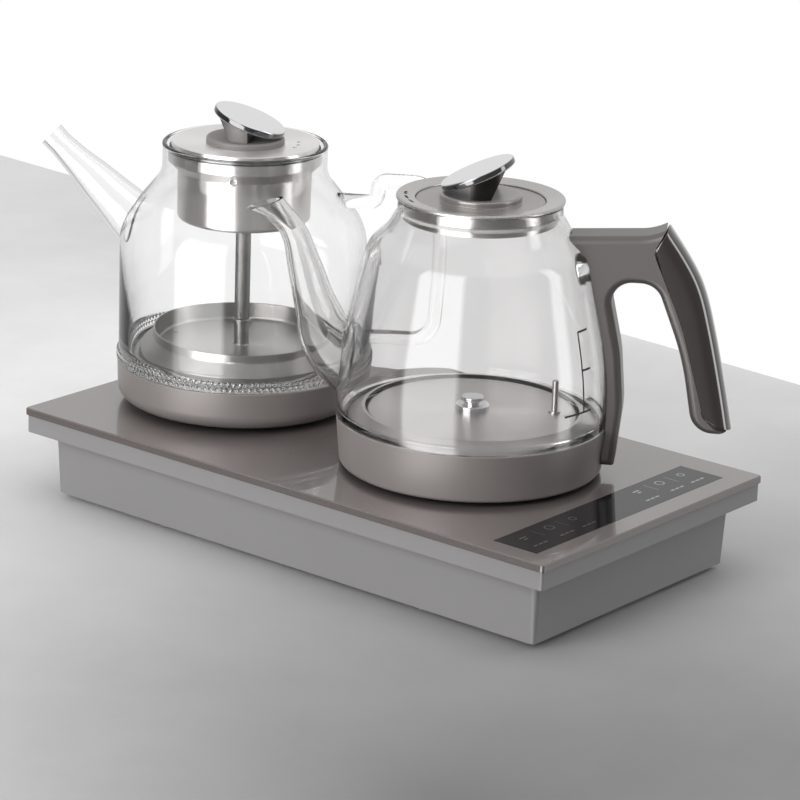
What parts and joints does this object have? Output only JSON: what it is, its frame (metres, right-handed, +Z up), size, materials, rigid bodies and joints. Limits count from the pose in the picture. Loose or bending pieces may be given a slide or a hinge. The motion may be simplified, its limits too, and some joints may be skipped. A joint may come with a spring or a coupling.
{
  "type": "automatic tea maker",
  "caption": "Recessed tea maker: a touch-control base with a self-filling glass kettle and a glass brewing pot with a steel infuser, lids with tilted disc knobs.",
  "frame": {"origin": "on the plane of the feet, below the middle of the glass panel", "axes": "+Z up, -Y towards the control strip (front), +X to the right seen from the front"},
  "size_m": [0.2, 0.3965, 0.2286],
  "materials": {
    "panel_glass": "glossy",
    "black_strip": "glossy",
    "grey_case": "satin",
    "foam": "matte",
    "bottom_steel": "satin",
    "screw_steel": "satin",
    "foot_rubber": "matte",
    "dark_plastic": "satin",
    "circuit_board": "satin",
    "parts_plastic": "glossy",
    "pump_steel": "satin",
    "hose_silicone": "satin",
    "taupe_plastic": "satin",
    "grip_brown": "glossy",
    "clear_glass": "clear",
    "brushed_steel": "brushed",
    "heater_aluminium": "cast",
    "chrome": "polished",
    "lid_plastic": "satin",
    "dark_lid": "satin",
    "seal_silicone": "satin"
  },
  "bodies": {
    "base": {"glass_panel": "panel_glass", "control_strip": "black_strip", "panel_gasket": "foam", "trim_frame": "grey_case", "tub": "grey_case", "bottom_cover": "bottom_steel", "case_screws": "screw_steel", "feet": "foot_rubber", "docks": "dark_plastic", "kettle_connector": "dark_plastic", "pot_connector": "dark_plastic", "water_nozzle": "dark_plastic", "touch_board": "circuit_board", "power_board": "circuit_board", "power_parts": "parts_plastic", "pump_bracket": "dark_plastic", "pump_motor": "pump_steel", "pump_housing": "dark_plastic", "pump_cover": "dark_plastic", "inlet_hose": "hose_silicone", "outlet_hose": "hose_silicone", "inlet_nipple": "dark_plastic", "cable_gland": "dark_plastic", "rear_nuts": "dark_plastic"},
    "pump_impeller": {"pump_impeller": "dark_plastic"},
    "kettle": {"kettle_collar": "taupe_plastic", "kettle_underside": "dark_plastic", "kettle_socket": "dark_plastic", "kettle_glass": "clear_glass", "kettle_spout": "clear_glass", "kettle_plate": "brushed_steel", "kettle_gasket": "seal_silicone", "kettle_heater": "heater_aluminium", "temperature_probe": "brushed_steel", "valve_seat": "brushed_steel", "handle_body": "taupe_plastic", "grip_cover": "grip_brown", "handle_screw": "chrome"},
    "fill_valve": {"fill_valve": "brushed_steel"},
    "kettle_lid": {"lid_ring": "lid_plastic", "lid_disc": "dark_lid", "lid_skirt": "brushed_steel", "lid_seal": "seal_silicone", "lid_knob": "chrome"},
    "pot": {"pot_collar": "taupe_plastic", "pot_underside": "dark_plastic", "pot_socket": "dark_plastic", "pot_glass": "clear_glass", "pot_spout": "clear_glass", "pot_handle": "clear_glass", "pot_plate": "brushed_steel", "pot_gasket": "seal_silicone", "pot_heater": "heater_aluminium", "boiler_cover": "brushed_steel"},
    "infuser": {"infuser_basket": "brushed_steel", "riser_tube": "brushed_steel"},
    "pot_lid": {"pot_lid_disc": "brushed_steel", "pot_lid_seal": "seal_silicone", "pot_lid_boss": "dark_lid", "pot_lid_knob": "chrome"}
  },
  "joints": [
    {"name": "kettle_lift", "type": "slide", "parent": "base", "child": "kettle", "axis": [0, 0, 1], "range_m": [0, 0.1]},
    {"name": "kettle_lid_lift", "type": "slide", "parent": "kettle", "child": "kettle_lid", "axis": [0, 0, 1], "range_m": [0, 0.06]},
    {"name": "fill_valve_lift", "type": "slide", "parent": "kettle", "child": "fill_valve", "axis": [0, 0, 1], "range_m": [0, 0.0025]},
    {"name": "pot_lift", "type": "slide", "parent": "base", "child": "pot", "axis": [0, 0, 1], "range_m": [0, 0.1]},
    {"name": "infuser_lift", "type": "slide", "parent": "pot", "child": "infuser", "axis": [0, 0, 1], "range_m": [0, 0.11]},
    {"name": "pot_lid_lift", "type": "slide", "parent": "infuser", "child": "pot_lid", "axis": [0, 0, 1], "range_m": [0, 0.05]},
    {"name": "pump_impeller_spin", "type": "hinge", "parent": "base", "child": "pump_impeller", "pos_m": [-0.045, 0.007, 0.022], "axis": [0, 1, 0], "continuous": true}
  ]
}
